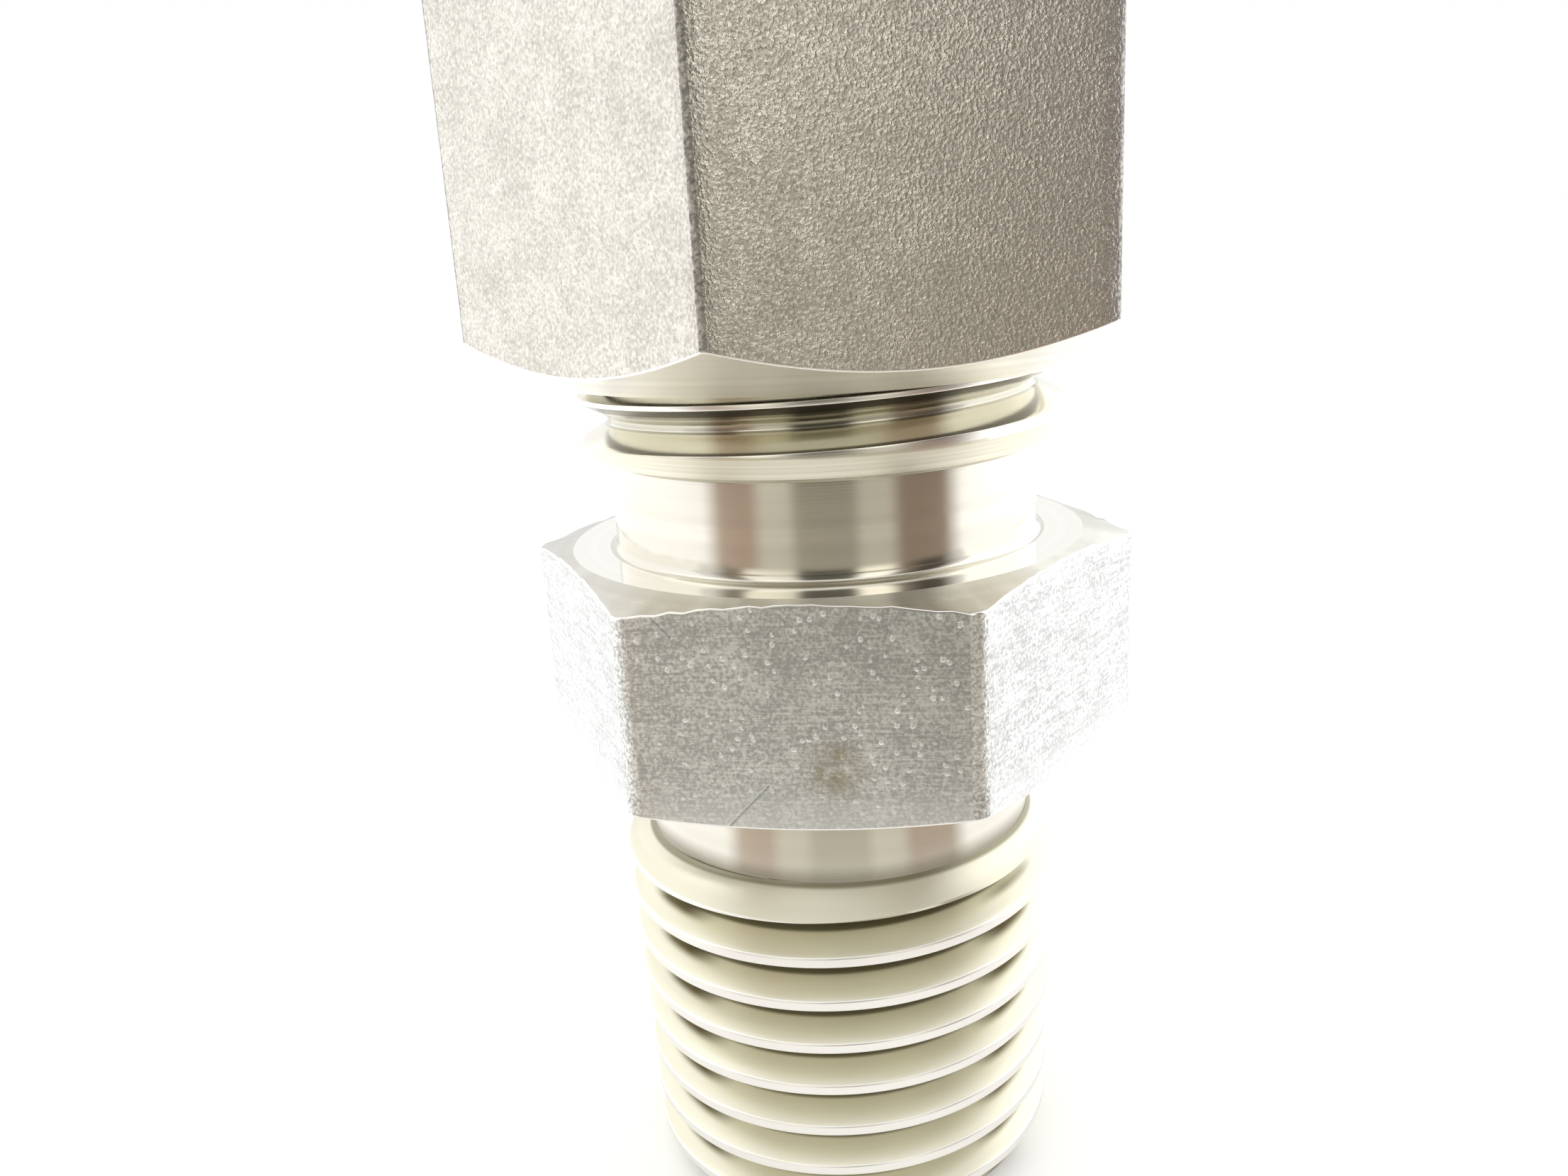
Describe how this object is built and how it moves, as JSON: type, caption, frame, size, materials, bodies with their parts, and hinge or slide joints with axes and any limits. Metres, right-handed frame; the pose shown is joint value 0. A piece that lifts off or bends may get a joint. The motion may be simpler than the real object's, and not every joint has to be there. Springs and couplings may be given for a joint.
{
  "type": "male tube connector",
  "caption": "Steel compression fitting that joins a tube to a female pipe port: hex body with a tapered male pipe thread, hex coupling nut and twin ferrules.",
  "frame": {"origin": "centre of the pipe thread's end face, on the axis of the fitting, so that the part stands on that face", "axes": "+Z along the axis from the pipe thread towards the nut, -Y out of one wrench flat of the body's hexagon"},
  "size_m": [0.0186, 0.0198, 0.0397],
  "materials": {
    "body_steel": "bright turned stainless steel with milled flats",
    "nut_steel": "dull grained stainless steel with a turned chamfer",
    "ferrule_steel": "smooth turned stainless steel"
  },
  "bodies": {
    "body": {"connector_body": "body_steel"},
    "ferrule_set": {"front_ferrule": "ferrule_steel", "back_ferrule": "ferrule_steel"},
    "nut": {"coupling_nut": "nut_steel"}
  },
  "joints": [
    {"name": "ferrule_travel", "type": "slide", "parent": "body", "child": "ferrule_set", "axis": [0, 0, 1], "range_m": [0, 0.00572]},
    {"name": "nut_turn", "type": "hinge", "parent": "ferrule_set", "child": "nut", "pos_m": [0, 0, 0.02545], "axis": [0, 0, 1], "range_deg": [0, 1620]}
  ],
  "couplings": [
    {"joint": "ferrule_travel", "follows": "nut_turn", "m_per_rad": 0.00020213}
  ]
}
